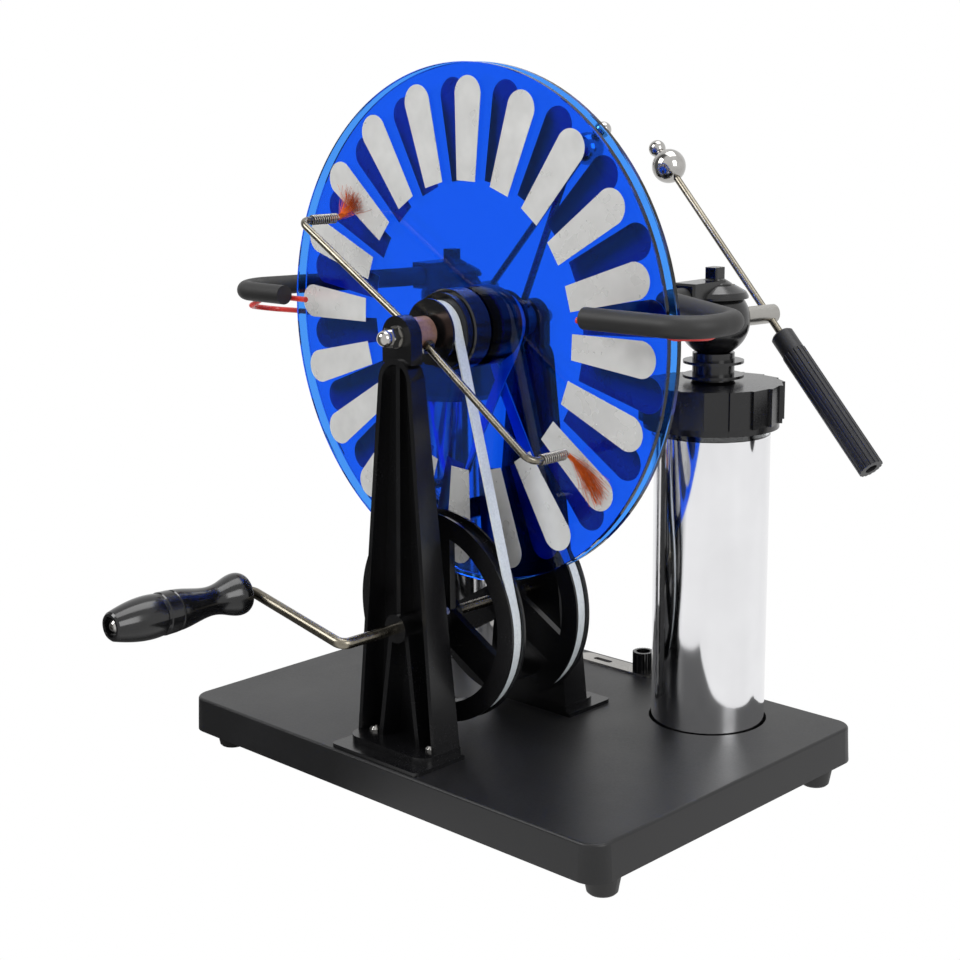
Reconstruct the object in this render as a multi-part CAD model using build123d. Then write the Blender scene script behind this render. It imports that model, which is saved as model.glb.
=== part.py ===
from build123d import *
import math
import os

os.makedirs("parts", exist_ok=True)

# Influence machine with two counter-turning discs, in millimetres.
# X runs along the long side of the base, Y from the crank to the back, Z up.
# The origin is the centre of the base tray's underside.
# A drive side is drawn in its own frame: x across, y up, z outwards from the
# plane midway between the discs. The back side is the front turned half round.

# Clearances
FIT = 0.05
GRIP_FIT = 0.1
RUNNING_GAP = 0.3
SLIP = 0.3
SEAT_GAP = 0.1

# Base tray
TRAY_LENGTH = 322
TRAY_DEPTH = 228
TRAY_HEIGHT = 20.4
TRAY_CORNER = 12
TRAY_WALL = 3
TRAY_TOP = 3
TRAY_EDGE = 1.6
TRAY_DRAFT = 2.6

# Rubber feet
FOOT_INSET_X = 14
FOOT_INSET_Y = 21
FOOT_TOP_RADIUS = 10
FOOT_BOTTOM_RADIUS = 8
FOOT_HEIGHT = 13
FOOT_PLUG_RADIUS = 3
FOOT_PLUG_LENGTH = 9
FOOT_POST_RADIUS = 9

# Discs
DISC_MID_Y = -31.7
DISC_RADIUS = 140
DISC_THICKNESS = 3
DISC_GAP = 5
AXLE_HEIGHT = 248.3

# Foil sectors
SECTOR_COUNT = 20
SECTOR_EDGE = 7
SECTOR_LENGTH = 54.7
SECTOR_END_ROUND = 11
SECTOR_WIDTH = 18.7
SECTOR_ROOT_WIDTH = 13.5
SECTOR_THICKNESS = 0.2
FRONT_SECTOR_PHASE = 15.3
REAR_SECTOR_PHASE = 173.7

# Hubs
HUB_RADIUS = 22
HUB_LENGTH = 12.5
HUB_FLANGE_RADIUS = 20.5
HUB_FLANGE = 4
HUB_STEP = 0.3
HUB_STEP_RADIUS = 19
GROOVE_WIDTH = 7
HUB_GROOVE_RADIUS = 15
HUB_LIP_RADIUS = 17.8
HUB_LIP = 1.3
SPIGOT_RADIUS = 8
CLAMP_RADIUS = 14
CLAMP_THICKNESS = 1.9

# Axle
AXLE_RADIUS = 3
SPACER_RADIUS = 5
WASHER_RADIUS = 6
WASHER_THICKNESS = 1
NUT_FLATS = 10
NUT_HEIGHT = 5
NUT_DOME_RADIUS = 4.4
NUT_DOME_RISE = 2

# Uprights
UPRIGHT_BACK_TOP = 46.8
UPRIGHT_BACK_BOTTOM = 43
UPRIGHT_FRONT_TOP = 56.6
UPRIGHT_FRONT_BOTTOM = 62.2
UPRIGHT_HALF_BOTTOM = 31
UPRIGHT_HALF_TOP = 12.5
UPRIGHT_ARCH_BELOW_AXLE = 23.8
UPRIGHT_WALL = 3
UPRIGHT_WEB = 3.5
UPRIGHT_RIB = 3
RIB_SETBACK = 2.5
LOW_RIB_SPREAD = 14
BOSS_RADIUS = 11
BOSS_THICKNESS = 8
BUSH_RADIUS = 8
BUSH_REACH = 60.5
FLOOR_THICKNESS = 4
FLOOR_REACH = 71
FLOOR_CORNER = 9
FLANGE_THICKNESS = 2.2
FLANGE_OVERHANG = 3
FLANGE_REACH = 79.5
FLANGE_CORNER = 3
SCREW_X = 22.5
SCREW_REACH = 56
SCREW_SHANK = 2
SCREW_HEAD_RADIUS = 4
SCREW_HEAD_HEIGHT = 2.6
SCREW_LENGTH = 14
SCREW_POST_RADIUS = 5.5

# Drive shaft, crank and grip
SHAFT_HEIGHT = 90.8
SHAFT_RADIUS = 3
SHAFT_REAR_REACH = 64
CRANK_REACH = 98.3
CRANK_ACROSS = 75.4
CRANK_RISE = 15.2
CRANK_BEND = 5
GRIP_GAP = 2.5
GRIP_LENGTH = 86
GRIP_COUNTERBORE_RADIUS = 5.5
GRIP_COUNTERBORE = 3.5
GRIP_SCREW_HEAD = 3.4
GRIP_SCREW_HEAD_HEIGHT = 2.4
GRIP_SCREW_SHANK = 1.5
GRIP_SCREW_LENGTH = 8

# Drive pulleys and belts
PULLEY_RADIUS = 59
PULLEY_GROOVE_DEPTH = 3
PULLEY_RIM = 11
PULLEY_LIP = 1.75
PULLEY_HUB_RADIUS = 10
PULLEY_HUB_LENGTH = 14
SPOKE_WIDTH = 19
SPOKE_THICKNESS = 4
SPOKE_COUNT = 3
SPOKE_FIRST = 90
SET_SCREW_RADIUS = 2
SET_SCREW_ANGLE = 30
SET_SCREW_STAND = 0.8
BELT_WIDTH = 6.4
BELT_THICKNESS = 1.1
BELT_PASS_GAP = 0.8
BELT_PASS_FLAT = 5

# Neutralizers
COLLAR_RADIUS = 9.1
COLLAR_LENGTH = 13
ROD_RADIUS = 2
ROD_ROOT = 4.6
ROD_BEND = 6
FRONT_ROD_ANGLES = (148.9, -35.5)
REAR_ROD_ANGLES = (114, 294)
FRONT_ROD_INSETS = (25.5, 33.5)
REAR_ROD_INSETS = (28, 28)
ROD_END_REACH = 20
LOCK_NUT_FLATS = 7
LOCK_NUT_HEIGHT = 2.6
SPRING_WIRE = 0.42
SPRING_PITCH = 1.55
SPRING_TURNS = 12
SPRING_TIP_REACH = 14
BRUSH_CORE_RADIUS = 1.45
BRUSH_CORE_LENGTH = 6.4
BRUSH_FACE_GAP = 0.7
STRAND_RADIUS = 0.1
STRAND_SPACING = 0.27
STRAND_COUNT = 80
FRONT_BRUSH_LEADS = ((58, 17), (-52, 31))
REAR_BRUSH_LEADS = ((205, 24), (235, 23))

# Jars
RIGHT_JAR_X = 89
LEFT_JAR_X = -112
JAR_Y = 68.6
JAR_RADIUS = 32.2
JAR_FOIL = 0.4
JAR_WALL = 2
JAR_FLOOR = 3
RECESS_CLEARANCE = 1.4
RECESS_DEPTH = 6
RECESS_RIM = 3
RECESS_FLOOR = 2.5
JAR_HEIGHT = 196
FOIL_TOP_GAP = 3.9
CAP_BOTTOM = 190.4
CAP_HEIGHT = 24.5
CAP_RIM = 7.3
CAP_TOOTH = 1.8
CAP_TEETH = 18
CAP_PLAIN = 3.6
CAP_PLAIN_RIM = 4.6
CAP_TOP = 3

# Neck and head
NECK_RADIUS = 11.6
NECK_FLANGE_RADIUS = 16.8
NECK_FLANGE = 1.5
NECK_FLANGE_LOW = 2.9
NECK_FLANGE_HIGH = 10.8
NECK_SOCKET = 16.5
HEAD_RADIUS = 19.7
HEAD_ABOVE_CAP = 34.1
DOME_RADIUS = 18.5
DOME_TOP_RADIUS = 11
DOME_LOW = 12.4
DOME_HIGH = 19.4
DOME_EDGE = 1.2
BUTTON_RADIUS = 9.2
BUTTON_EDGE = 0.9
BUTTON_RISE = 4
NUB_SIDE = 8.2
NUB_RISE = 5.6
LUG_WALL = 1.7
LUG_WALL_BELOW = 2.7
LUG_WALL_ABOVE = 2.1
LUG_REACH = 28

# Collector forks
FORK_RADIUS = 5.6
FORK_ABOVE_HEAD = 14.5
FORK_SOCKET = 9
WIRE_RADIUS = 1.6
WIRE_SIDE = -20
# Corners of each fork after its socket: away from the jar's middle, behind the discs' middle,
# below the socket and the bend's radius there. The last one is the free end.
RIGHT_FORK = ((0, 56.7, 0, 14), (81, 9.7, 0, 18), (83, -26, 0, 18), (15.5, -26, 0, 0))
LEFT_FORK = ((0, 61.7, 0, 14), (70, -26, 4.5, 12), (14, -26, 4.5, 0))
# Corners of each wire after the front arm: away from the jar's middle, behind the discs' middle,
# below the arm's middle and the bend's radius there.
RIGHT_WIRE = ((60, -13, 7.2, 8), (72, 0, 7.4, 8), (66, 12.7, 7.4, 8), (48, 12.7, 7.2, 0))
LEFT_WIRE = ((60, -14.3, 10.5, 7), (75, -1, 13.5, 9), (71, 12.7, 16, 9), (24, 12.7, 14.5, 0))
WIRE_START = 11
RIGHT_WIRE_RUN = 36
LEFT_WIRE_RUN = 24

# Spark electrodes
STUB_RADIUS = 5.3
STUB_ROOT = 11
STUB_BEYOND_ROD = 5
STUB_TURN = 10
ROD_BEYOND_CAP = 1.5
ELECTRODE_RADIUS = 2
BIG_BALL_RADIUS = 10
BIG_BALL_AT = 116
SMALL_BALL_RADIUS = 5
SMALL_BALL_AT = 130.5
RIGHT_ELEVATION = 43.5
LEFT_ELEVATION = 50.5
HANDLE_START = 15
HANDLE_LENGTH = 95
HANDLE_RADIUS = 7
HANDLE_COLLAR = 14
HANDLE_FLUTES = 16
HANDLE_FLUTE_RADIUS = 0.7
HANDLE_BORE_DEPTH = 12
HANDLE_BORE_RADIUS = 3.4

# Link strip and its knob
LINK_X = 15.5
LINK_Y = 101
LINK_LEFT = -36
LINK_RIGHT = 27
LINK_WIDTH = 13
LINK_THICKNESS = 1.2
LINK_SLOT_X = -17
LINK_SLOT_LENGTH = 14
LINK_SLOT_WIDTH = 4
STUD_RADIUS = 2.5
STUD_RISE = 12
KNOB_RADIUS = 6.6
KNOB_HEIGHT = 13
KNOB_TEETH = 24
KNOB_TOOTH = 0.5
KNOB_HOLLOW_RADIUS = 4.4
KNOB_HOLLOW = 3.5

# Sizes that follow from the ones above
SECTOR_OUTER = DISC_RADIUS - SECTOR_EDGE
SECTOR_INNER = SECTOR_OUTER - SECTOR_LENGTH
SECTOR_WIDE_AT = SECTOR_OUTER - SECTOR_END_ROUND
PULLEY_GROOVE_RADIUS = PULLEY_RADIUS - PULLEY_GROOVE_DEPTH
PULLEY_RIM_INNER = PULLEY_RADIUS - PULLEY_RIM
CAP_RADIUS = JAR_RADIUS + CAP_RIM
CAP_PLAIN_RADIUS = JAR_RADIUS + CAP_PLAIN_RIM
LUG_WIDTH = 2 * (FORK_RADIUS + LUG_WALL)
LUG_LOW = FORK_ABOVE_HEAD - FORK_RADIUS - LUG_WALL_BELOW
LUG_HIGH = FORK_ABOVE_HEAD + FORK_RADIUS + LUG_WALL_ABOVE
ROD_HOLE_AT = CAP_RADIUS + ROD_BEYOND_CAP
STUB_LENGTH = ROD_HOLE_AT + STUB_BEYOND_ROD - STUB_ROOT
DISC_FACE = DISC_GAP / 2 + DISC_THICKNESS
HUB_END = DISC_FACE + HUB_LENGTH
FLANGE_START = HUB_END + HUB_STEP
GROOVE_START = FLANGE_START + HUB_FLANGE
GROOVE_END = GROOVE_START + GROOVE_WIDTH
GROOVE_MID = GROOVE_START + GROOVE_WIDTH / 2
LIP_END = GROOVE_END + HUB_LIP
COLLAR_END = UPRIGHT_BACK_TOP - RUNNING_GAP
COLLAR_START = COLLAR_END - COLLAR_LENGTH
COLLAR_MID = COLLAR_END - COLLAR_LENGTH / 2 + 0.3
ARCH_HEIGHT = AXLE_HEIGHT - UPRIGHT_ARCH_BELOW_AXLE
BOSS_FACE = UPRIGHT_BACK_TOP + BOSS_THICKNESS
FLOOR_TOP = TRAY_HEIGHT + FLANGE_THICKNESS + FLOOR_THICKNESS
AXLE_END = BOSS_FACE + WASHER_THICKNESS + NUT_HEIGHT + NUT_DOME_RISE
RECESS_RADIUS = JAR_RADIUS + RECESS_CLEARANCE
JAR_SEAT = TRAY_HEIGHT - RECESS_DEPTH
CUP_RADIUS = JAR_RADIUS - JAR_FOIL - FIT
CAP_TOP_HEIGHT = CAP_BOTTOM + CAP_HEIGHT
HEAD_HEIGHT = CAP_TOP_HEIGHT + HEAD_ABOVE_CAP
FORK_HEIGHT = HEAD_HEIGHT + FORK_ABOVE_HEAD
GRIP_START = CRANK_REACH + SHAFT_RADIUS + GRIP_GAP
GRIP_END = GRIP_START + GRIP_LENGTH
PIN_END = GRIP_END - GRIP_COUNTERBORE + RUNNING_GAP
BELT_HUB_RADIUS = HUB_GROOVE_RADIUS + SLIP
BELT_PULLEY_RADIUS = PULLEY_GROOVE_RADIUS + SLIP
SPRING_MEAN = ROD_RADIUS + 0.08 + SPRING_WIRE
AXLE_DROP = AXLE_HEIGHT - SHAFT_HEIGHT

BOTTOM = (Align.CENTER, Align.CENTER, Align.MIN)


def side_frame(front):
    """Frame of a drive side: x across, y up, z outwards from between the discs."""
    out = -1 if front else 1
    return Plane(origin=(0, DISC_MID_Y, 0), x_dir=(-out, 0, 0), z_dir=(0, out, 0)).location


def turned(points, x=0, y=0):
    """Solid turned about the local Z axis from (radius, height) points."""
    face = make_face(Plane.XZ * Polyline(*points, close=True))
    return Pos(x, y, 0) * revolve(face, Axis.Z)


def bar(radius, low, high, x=0, y=0):
    return Pos(x, y, low) * Cylinder(radius, high - low, align=BOTTOM)


def ring(outer, inner, low, high, x=0, y=0):
    return bar(outer, low, high, x, y) - bar(inner, low - 1, high + 1, x, y)


def tube_along(path, radius):
    start = Plane(origin=path @ 0, z_dir=path % 0)
    return sweep(start * Circle(radius), path=path)


def polar(radius, degrees):
    turn = math.radians(degrees)
    return radius * math.cos(turn), radius * math.sin(turn)


def save(shape, name):
    export_step(shape, f"parts/{name}.step")


def group(shapes):
    solids = []
    for shape in shapes:
        solids.extend(shape.solids())
    return Compound(children=solids)


# ---- base -------------------------------------------------------------

def foot_places():
    x = TRAY_LENGTH / 2 - FOOT_INSET_X
    y = TRAY_DEPTH / 2 - FOOT_INSET_Y
    return [(x, y), (-x, y), (x, -y), (-x, -y)]


def screw_places(front):
    out = -1 if front else 1
    return [(side * SCREW_X, DISC_MID_Y + out * SCREW_REACH) for side in (-1, 1)]


def jar_places():
    return [(RIGHT_JAR_X, JAR_Y), (LEFT_JAR_X, JAR_Y)]


def base_tray():
    outline = RectangleRounded(TRAY_LENGTH, TRAY_DEPTH, TRAY_CORNER)
    tray = extrude(outline, TRAY_HEIGHT, taper=TRAY_DRAFT)
    tray = fillet(tray.faces().sort_by(Axis.Z)[-1].edges(), TRAY_EDGE)
    inner = RectangleRounded(
        TRAY_LENGTH - 2 * TRAY_WALL, TRAY_DEPTH - 2 * TRAY_WALL, TRAY_CORNER - TRAY_WALL
    )
    under_top = TRAY_HEIGHT - TRAY_TOP
    hollow = extrude(inner, under_top, taper=TRAY_DRAFT)
    seat_low = JAR_SEAT - RECESS_FLOOR
    for x, y in jar_places():
        hollow -= bar(RECESS_RADIUS + RECESS_RIM, seat_low, TRAY_HEIGHT, x, y)
    for x, y in foot_places():
        hollow -= bar(FOOT_POST_RADIUS, -1, TRAY_HEIGHT, x, y)
    post_low = TRAY_HEIGHT - SCREW_LENGTH
    for x, y in screw_places(True) + screw_places(False) + [(LINK_X, LINK_Y)]:
        hollow -= bar(SCREW_POST_RADIUS, post_low, TRAY_HEIGHT, x, y)
    tray -= hollow
    for x, y in jar_places():
        tray -= bar(RECESS_RADIUS, JAR_SEAT, TRAY_HEIGHT + 1, x, y)
    for x, y in foot_places():
        tray -= bar(FOOT_PLUG_RADIUS + FIT, -1, FOOT_PLUG_LENGTH + FIT, x, y)
    for x, y in screw_places(True) + screw_places(False):
        tray -= bar(SCREW_SHANK + FIT, post_low - 1, TRAY_HEIGHT + 1, x, y)
    tray -= bar(STUD_RADIUS + FIT, post_low - 1, TRAY_HEIGHT + 1, LINK_X, LINK_Y)
    return tray


def rubber_foot():
    return turned([
        (0, FOOT_PLUG_LENGTH),
        (FOOT_PLUG_RADIUS, FOOT_PLUG_LENGTH),
        (FOOT_PLUG_RADIUS, 0),
        (FOOT_TOP_RADIUS, 0),
        (FOOT_TOP_RADIUS - 0.3, -3),
        (FOOT_BOTTOM_RADIUS, 1 - FOOT_HEIGHT),
        (FOOT_BOTTOM_RADIUS - 1, -FOOT_HEIGHT),
        (0, -FOOT_HEIGHT),
    ])


# ---- uprights ---------------------------------------------------------

def tapered_outline(half_bottom, bottom, half_top, arch_height):
    """Straight sides rising from the base and tangent to a round top."""
    rise = arch_height - bottom
    reach = math.hypot(half_bottom, rise)
    lean = math.atan2(rise, -half_bottom) - math.asin(half_top / reach)
    length = math.sqrt(reach ** 2 - half_top ** 2)
    x = half_bottom + length * math.cos(lean)
    y = bottom + length * math.sin(lean)
    sides = Polyline(
        (-half_bottom, bottom), (half_bottom, bottom), (x, y), (-x, y), close=True
    )
    return make_face(sides) + Pos(0, arch_height) * Circle(half_top)


def depth_profile(back_shift, front_shift):
    """Wedge between the leaning back face and the leaning front edge."""
    top = ARCH_HEIGHT + UPRIGHT_HALF_TOP
    sides = Polyline(
        (TRAY_HEIGHT, UPRIGHT_BACK_BOTTOM + back_shift),
        (TRAY_HEIGHT, UPRIGHT_FRONT_BOTTOM + front_shift),
        (top, UPRIGHT_FRONT_TOP + front_shift),
        (top, UPRIGHT_BACK_TOP + back_shift),
        close=True,
    )
    return extrude(Plane.YZ * make_face(sides), 2 * UPRIGHT_HALF_BOTTOM, both=True)


def upright():
    deep = 2 * FLANGE_REACH
    outline = tapered_outline(UPRIGHT_HALF_BOTTOM, TRAY_HEIGHT, UPRIGHT_HALF_TOP, ARCH_HEIGHT)
    body = extrude(outline, deep) & depth_profile(0, 0)
    floor = Pos(0, 0, UPRIGHT_BACK_BOTTOM) * extrude(
        Pos(0, (TRAY_HEIGHT + FLOOR_TOP) / 2)
        * Rectangle(2 * UPRIGHT_HALF_BOTTOM, FLOOR_TOP - TRAY_HEIGHT),
        FLOOR_REACH - UPRIGHT_BACK_BOTTOM,
    )
    floor = fillet(
        floor.faces().sort_by(Axis.Z)[-1].edges().filter_by(Axis.Y), FLOOR_CORNER
    )
    boss_foot = ARCH_HEIGHT + UPRIGHT_HALF_TOP - UPRIGHT_WALL
    boss = extrude(
        Pos(0, AXLE_HEIGHT) * Circle(BOSS_RADIUS)
        + Pos(0, (AXLE_HEIGHT + boss_foot) / 2)
        * Rectangle(2 * BOSS_RADIUS, AXLE_HEIGHT - boss_foot),
        BOSS_THICKNESS,
    )
    boss = Pos(0, 0, UPRIGHT_BACK_TOP) * boss
    hollow_outline = tapered_outline(
        UPRIGHT_HALF_BOTTOM - UPRIGHT_WALL, FLOOR_TOP, UPRIGHT_HALF_TOP - UPRIGHT_WALL, ARCH_HEIGHT
    )
    hollow = extrude(hollow_outline, deep) & depth_profile(UPRIGHT_WEB, FLANGE_REACH)
    rib_space = depth_profile(0, -RIB_SETBACK)
    top_rib = Pos(0, (SHAFT_HEIGHT + ARCH_HEIGHT + UPRIGHT_HALF_TOP) / 2) * Rectangle(
        UPRIGHT_RIB, ARCH_HEIGHT + UPRIGHT_HALF_TOP - SHAFT_HEIGHT - UPRIGHT_WALL
    )
    ribs = extrude(top_rib, deep) & rib_space
    for side in (-1, 1):
        low_rib = make_face(Polyline(
            (side * LOW_RIB_SPREAD, TRAY_HEIGHT),
            (side * (LOW_RIB_SPREAD + UPRIGHT_RIB), TRAY_HEIGHT),
            (side * (BUSH_RADIUS - 1), SHAFT_HEIGHT),
            (side * (BUSH_RADIUS - 1 - UPRIGHT_RIB), SHAFT_HEIGHT),
            close=True,
        ))
        ribs += extrude(low_rib, deep) & rib_space
    bush = bar(BUSH_RADIUS, UPRIGHT_BACK_BOTTOM + UPRIGHT_WEB, BUSH_REACH, 0, SHAFT_HEIGHT)
    shape = (body - hollow) + ribs + bush + floor + boss
    flange_width = 2 * (UPRIGHT_HALF_BOTTOM + FLANGE_OVERHANG)
    flange = Pos(0, 0, UPRIGHT_BACK_BOTTOM) * extrude(
        Pos(0, TRAY_HEIGHT + FLANGE_THICKNESS / 2) * Rectangle(flange_width, FLANGE_THICKNESS),
        FLANGE_REACH - UPRIGHT_BACK_BOTTOM,
    )
    flange = fillet(
        flange.faces().sort_by(Axis.Z)[-1].edges().filter_by(Axis.Y), FLANGE_CORNER
    )
    shape += flange
    shape -= bar(AXLE_RADIUS + FIT, 0, deep, 0, AXLE_HEIGHT)
    shape -= bar(SHAFT_RADIUS + FIT, 0, deep, 0, SHAFT_HEIGHT)
    for x in (-SCREW_X, SCREW_X):
        hole = Pos(x, TRAY_HEIGHT, SCREW_REACH) * Rot(-90, 0, 0) * Cylinder(
            SCREW_SHANK + FIT, 6 * FLOOR_THICKNESS
        )
        shape -= hole
    return shape


def pan_screw():
    """Screw with its head resting at height 0, pointing down."""
    edge = 0.55 * SCREW_HEAD_HEIGHT
    screw = turned([
        (0, SCREW_HEAD_HEIGHT),
        (SCREW_HEAD_RADIUS - edge, SCREW_HEAD_HEIGHT),
        (SCREW_HEAD_RADIUS, SCREW_HEAD_HEIGHT - edge),
        (SCREW_HEAD_RADIUS, 0),
        (SCREW_SHANK, 0),
        (SCREW_SHANK, -SCREW_LENGTH),
        (0, -SCREW_LENGTH),
    ])
    slot = 1.1 * SCREW_HEAD_RADIUS
    wide = 0.28 * SCREW_HEAD_RADIUS
    for turn in (0, 90):
        screw -= Pos(0, 0, SCREW_HEAD_HEIGHT) * Rot(0, 0, 45 + turn) * Box(slot, wide, SCREW_HEAD_HEIGHT)
    return screw


# ---- axle, hubs and discs ---------------------------------------------

def acorn_nut():
    """Cap nut standing on height 0 about the local Z axis."""
    body = extrude(RegularPolygon(NUT_FLATS / 2, 6, major_radius=False), NUT_HEIGHT)
    body &= turned([
        (0, 0),
        (0.94 * NUT_FLATS / math.sqrt(3), 0),
        (NUT_FLATS / math.sqrt(3), 0.6),
        (NUT_FLATS / math.sqrt(3), NUT_HEIGHT - 0.6),
        (0.92 * NUT_FLATS / math.sqrt(3), NUT_HEIGHT),
        (0, NUT_HEIGHT),
    ])
    dome_low = NUT_HEIGHT + NUT_DOME_RISE
    body += bar(NUT_DOME_RADIUS, NUT_HEIGHT - 1, dome_low)
    dome = Pos(0, 0, dome_low) * Sphere(NUT_DOME_RADIUS)
    body += dome & bar(NUT_DOME_RADIUS + 1, dome_low - 1, dome_low + NUT_DOME_RADIUS + 1)
    return body - bar(AXLE_RADIUS + FIT, -1, dome_low + FIT)


def hub():
    bore = AXLE_RADIUS + FIT
    drum = turned([
        (bore, DISC_GAP / 2),
        (SPIGOT_RADIUS, DISC_GAP / 2),
        (SPIGOT_RADIUS, DISC_FACE),
        (HUB_RADIUS - 0.8, DISC_FACE),
        (HUB_RADIUS, DISC_FACE + 0.8),
        (HUB_RADIUS, HUB_END - 0.8),
        (HUB_RADIUS - 0.8, HUB_END),
        (HUB_STEP_RADIUS, HUB_END),
        (HUB_STEP_RADIUS, FLANGE_START),
        (HUB_FLANGE_RADIUS, FLANGE_START),
        (HUB_FLANGE_RADIUS, GROOVE_START - 0.2),
        (HUB_FLANGE_RADIUS - 0.8, GROOVE_START),
        (HUB_GROOVE_RADIUS, GROOVE_START),
        (HUB_GROOVE_RADIUS, GROOVE_END),
        (HUB_LIP_RADIUS, GROOVE_END),
        (HUB_LIP_RADIUS, LIP_END),
        (bore, LIP_END),
    ], 0, AXLE_HEIGHT)
    clamp = ring(
        CLAMP_RADIUS, bore, DISC_GAP / 2 - CLAMP_THICKNESS, DISC_GAP / 2, 0, AXLE_HEIGHT
    )
    return group([drum, clamp])


def disc():
    plate = ring(
        DISC_RADIUS, SPIGOT_RADIUS + SEAT_GAP, DISC_GAP / 2, DISC_FACE, 0, AXLE_HEIGHT
    )
    return chamfer(plate.edges().filter_by(GeomType.CIRCLE).sort_by(SortBy.LENGTH)[-2:], 0.4)


def sectors(phase):
    half = SECTOR_WIDTH / 2
    root = SECTOR_ROOT_WIDTH / 2
    outline = Line((SECTOR_INNER, -root), (SECTOR_WIDE_AT, -half))
    outline += ThreePointArc(
        (SECTOR_WIDE_AT, -half), (SECTOR_OUTER, 0), (SECTOR_WIDE_AT, half)
    )
    outline += Line((SECTOR_WIDE_AT, half), (SECTOR_INNER, root))
    outline += Line((SECTOR_INNER, root), (SECTOR_INNER, -root))
    petal = extrude(make_face(outline), SECTOR_THICKNESS)
    petals = []
    for number in range(SECTOR_COUNT):
        turn = phase + number * 360 / SECTOR_COUNT
        petals.append(Pos(0, AXLE_HEIGHT, DISC_FACE) * Rot(0, 0, turn) * petal)
    return petals


# ---- drive shaft, crank, pulleys and belts ----------------------------

def drive_shaft():
    path = FilletPolyline(
        (0, SHAFT_HEIGHT, -SHAFT_REAR_REACH),
        (0, SHAFT_HEIGHT, CRANK_REACH),
        (-CRANK_ACROSS, SHAFT_HEIGHT + CRANK_RISE, CRANK_REACH),
        (-CRANK_ACROSS, SHAFT_HEIGHT + CRANK_RISE, PIN_END),
        radius=CRANK_BEND,
    )
    shaft = tube_along(path, SHAFT_RADIUS)
    hole = bar(
        GRIP_SCREW_SHANK + FIT,
        PIN_END - GRIP_SCREW_LENGTH - FIT,
        PIN_END + 1,
        -CRANK_ACROSS,
        SHAFT_HEIGHT + CRANK_RISE,
    )
    return shaft - hole


def crank_grip():
    """Turned handle about the local Z axis, from its inner end at 0."""
    bore = SHAFT_RADIUS + GRIP_FIT
    tip = GRIP_LENGTH
    waist = Spline(
        (10.6, 0.6), (11.5, 2.4), (11.4, 8), (9.4, 14.5), (8.1, 21), (9.3, 33), (11.2, 45.5)
    )
    belly = Spline((11.5, 57.2), (11.8, 63), (11, 72), (9.3, 80), (7.9, tip - 1))
    outline = Line((bore, 0), (9.8, 0)) + Line((9.8, 0), (10.6, 0.6)) + waist
    outline += Polyline(
        (11.2, 45.5), (11.3, 46.4), (10.8, 46.8), (10.8, 47.6), (11.5, 48), (11.7, 54.5),
        (11.2, 55), (11.2, 56.4), (11.5, 57.2),
    )
    outline += belly
    outline += Polyline(
        (7.9, tip - 1), (7, tip), (GRIP_COUNTERBORE_RADIUS, tip),
        (GRIP_COUNTERBORE_RADIUS, tip - GRIP_COUNTERBORE), (bore, tip - GRIP_COUNTERBORE),
        (bore, 0),
    )
    return revolve(make_face(Plane.XZ * outline), Axis.Z)


def grip_screw():
    """Screw on the end of the crank pin, its head starting at height 0."""
    screw = turned([
        (0, -GRIP_SCREW_LENGTH),
        (GRIP_SCREW_SHANK, -GRIP_SCREW_LENGTH),
        (GRIP_SCREW_SHANK, 0),
        (GRIP_SCREW_HEAD, 0),
        (GRIP_SCREW_HEAD, 0.6 * GRIP_SCREW_HEAD_HEIGHT),
        (0.6 * GRIP_SCREW_HEAD, GRIP_SCREW_HEAD_HEIGHT),
        (0, GRIP_SCREW_HEAD_HEIGHT),
    ])
    hexagon = RegularPolygon(0.45 * GRIP_SCREW_HEAD, 6)
    return screw - Pos(0, 0, 0.4 * GRIP_SCREW_HEAD_HEIGHT) * extrude(hexagon, GRIP_SCREW_HEAD_HEIGHT)


def pulley_ends():
    half = GROOVE_WIDTH / 2 + PULLEY_LIP
    return GROOVE_MID - half, GROOVE_MID + half


def set_screw_places():
    """Height along the hub and turn of each pulley's set screw."""
    return GROOVE_MID + (SPOKE_THICKNESS + PULLEY_HUB_LENGTH) / 4, SET_SCREW_ANGLE


def pulley():
    low, high = pulley_ends()
    rim = turned([
        (PULLEY_RIM_INNER, low),
        (PULLEY_RADIUS, low),
        (PULLEY_RADIUS, low + PULLEY_LIP - 0.4),
        (PULLEY_GROOVE_RADIUS, GROOVE_START),
        (PULLEY_GROOVE_RADIUS, GROOVE_END),
        (PULLEY_RADIUS, high - PULLEY_LIP + 0.4),
        (PULLEY_RADIUS, high),
        (PULLEY_RIM_INNER, high),
    ])
    hub_low = GROOVE_MID - PULLEY_HUB_LENGTH / 2
    wheel = rim + bar(PULLEY_HUB_RADIUS, hub_low, hub_low + PULLEY_HUB_LENGTH)
    reach = PULLEY_RIM_INNER + 1
    for number in range(SPOKE_COUNT):
        turn = SPOKE_FIRST + number * 360 / SPOKE_COUNT
        wheel += Rot(0, 0, turn) * Pos(reach / 2, 0, GROOVE_MID) * Box(
            reach, SPOKE_WIDTH, SPOKE_THICKNESS
        )
    wheel -= bar(SHAFT_RADIUS + FIT, hub_low - 1, hub_low + PULLEY_HUB_LENGTH + 1)
    height, turn = set_screw_places()
    hole = Pos(0, 0, height) * Rot(0, 0, turn) * Rot(0, 90, 0) * bar(
        SET_SCREW_RADIUS + FIT, 0, 2 * PULLEY_HUB_RADIUS
    )
    return Pos(0, SHAFT_HEIGHT, 0) * (wheel - hole)


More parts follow.
